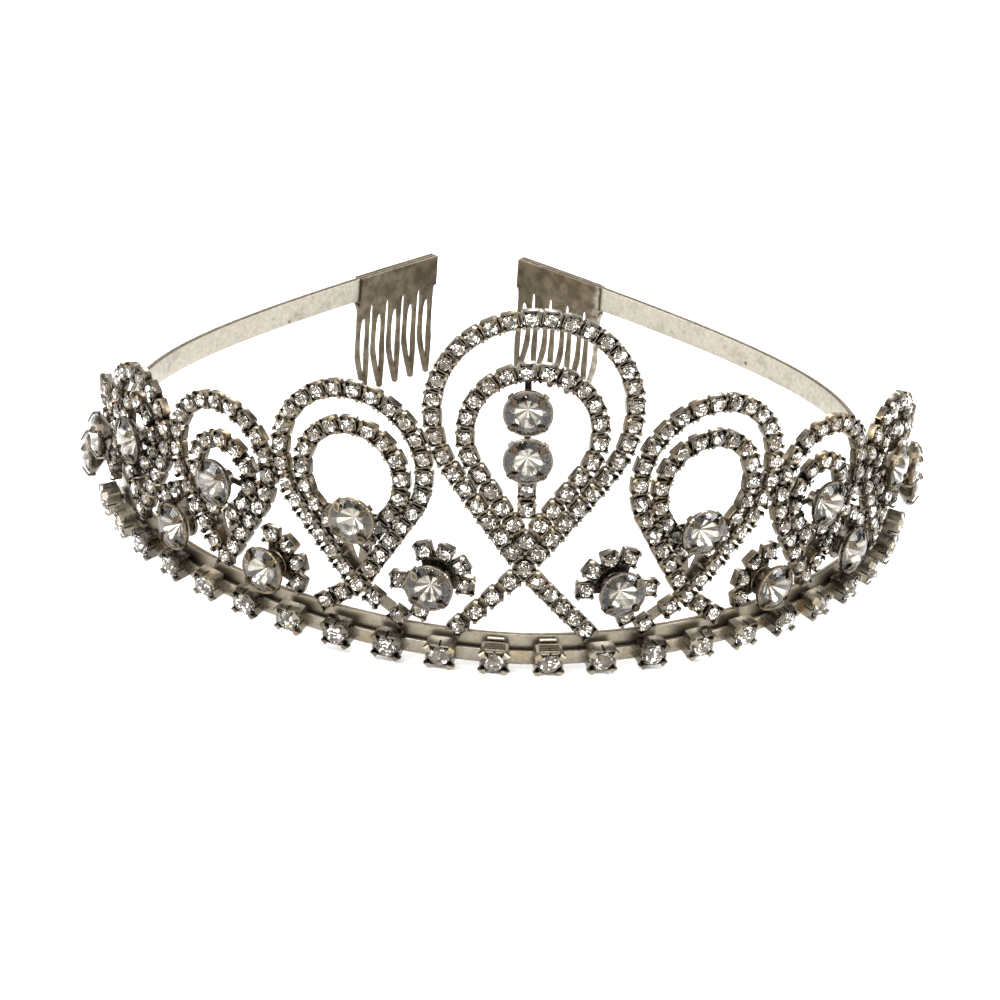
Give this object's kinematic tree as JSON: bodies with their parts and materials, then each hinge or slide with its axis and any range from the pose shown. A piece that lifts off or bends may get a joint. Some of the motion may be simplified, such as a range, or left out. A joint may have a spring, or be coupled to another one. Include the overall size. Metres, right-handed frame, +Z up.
{
  "type": "pageant crown",
  "caption": "Open pageant crown: springy headband with two end combs, a stone rail and a front panel of looped cup chain with large cut stones.",
  "frame": {"origin": "middle of the crown's box, on the surface that it rests on", "axes": "+Z up; -Y to the front, where the panel of loops stands; +X to the right as seen from the front"},
  "size_m": [0.1334, 0.153, 0.0577],
  "materials": {
    "silver_plate": "silver plated, satin, tarnished yellowish in places",
    "worn_plate": "plating worn and oxidised brown-grey",
    "cut_glass": "clear cut glass with a foiled back"
  },
  "bodies": {
    "root": {"headband": "silver_plate", "rail": "silver_plate", "centre_motif": "silver_plate", "left_inner_motif": "silver_plate", "left_middle_motif": "silver_plate", "left_outer_motif": "silver_plate", "left_end_motif": "silver_plate", "right_inner_motif": "silver_plate", "right_middle_motif": "silver_plate", "right_outer_motif": "silver_plate", "right_end_motif": "silver_plate", "left_inner_flower": "silver_plate", "left_middle_flower": "silver_plate", "left_outer_flower": "silver_plate", "right_inner_flower": "silver_plate", "right_middle_flower": "silver_plate", "right_outer_flower": "silver_plate", "left_last_setting": "silver_plate", "right_last_setting": "silver_plate", "left_comb": "worn_plate", "right_comb": "worn_plate", "centre_upper_stone": "cut_glass", "centre_lower_stone": "cut_glass", "left_inner_stone": "cut_glass", "left_middle_stone": "cut_glass", "left_outer_stone": "cut_glass", "left_end_stone": "cut_glass", "right_inner_stone": "cut_glass", "right_middle_stone": "cut_glass", "right_outer_stone": "cut_glass", "right_end_stone": "cut_glass", "left_inner_flower_stone": "cut_glass", "left_middle_flower_stone": "cut_glass", "left_outer_flower_stone": "cut_glass", "right_inner_flower_stone": "cut_glass", "right_middle_flower_stone": "cut_glass", "right_outer_flower_stone": "cut_glass", "left_last_stone": "cut_glass", "right_last_stone": "cut_glass", "rail_stones": "cut_glass", "centre_chain_stones": "cut_glass", "left_inner_flower_chain_stones": "cut_glass", "left_middle_flower_chain_stones": "cut_glass", "right_inner_flower_chain_stones": "cut_glass", "right_middle_flower_chain_stones": "cut_glass", "left_inner_chain_stones": "cut_glass", "right_inner_chain_stones": "cut_glass"}
  },
  "joints": []
}
